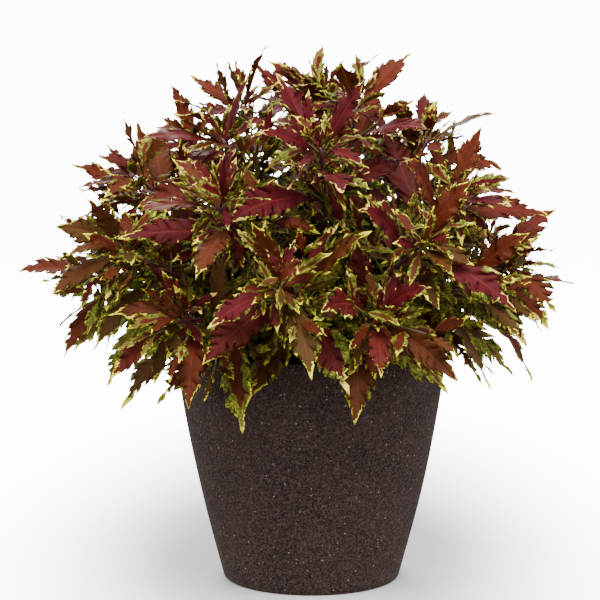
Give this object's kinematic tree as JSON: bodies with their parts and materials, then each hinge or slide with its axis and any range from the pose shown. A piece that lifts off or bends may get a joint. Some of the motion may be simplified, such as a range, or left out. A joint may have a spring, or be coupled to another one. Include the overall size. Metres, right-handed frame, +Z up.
{
  "type": "potted coleus",
  "caption": "Bushy coleus with cut, toothed leaves on square stems, growing in a tapered round pot that stands on the floor or a balcony.",
  "frame": {"origin": "centre of the pot's underside, on the ground", "axes": "+Z up along the pot's axis; -Y to the front, the side whose leaves face out most; +X to the right seen from the front"},
  "size_m": [0.5562, 0.565, 0.5326],
  "materials": {
    "pot": "matt fibre-and-stone composite, finely speckled",
    "potting_mix": "matt, crumbly peat",
    "foliage": "soft leaf surface with a faint sheen, burgundy with yellow-green edges"
  },
  "bodies": {
    "root": {"pot": "pot", "potting_mix": "potting_mix", "leafy_stem_01": "foliage", "leafy_stem_02": "foliage", "leafy_stem_03": "foliage", "leafy_stem_04": "foliage", "leafy_stem_05": "foliage", "leafy_stem_06": "foliage", "leafy_stem_07": "foliage", "leafy_stem_08": "foliage", "leafy_stem_09": "foliage", "leafy_stem_10": "foliage", "leafy_stem_11": "foliage", "leafy_stem_12": "foliage", "leafy_stem_13": "foliage", "leafy_stem_14": "foliage", "leafy_stem_15": "foliage", "leafy_stem_16": "foliage", "leafy_stem_17": "foliage", "leafy_stem_18": "foliage", "leafy_stem_19": "foliage", "leafy_stem_20": "foliage", "leafy_stem_21": "foliage", "leafy_stem_22": "foliage", "leafy_stem_23": "foliage", "leafy_stem_24": "foliage", "leafy_stem_25": "foliage", "leafy_stem_26": "foliage", "leafy_stem_27": "foliage", "leafy_stem_28": "foliage", "leafy_stem_29": "foliage"}
  },
  "joints": []
}
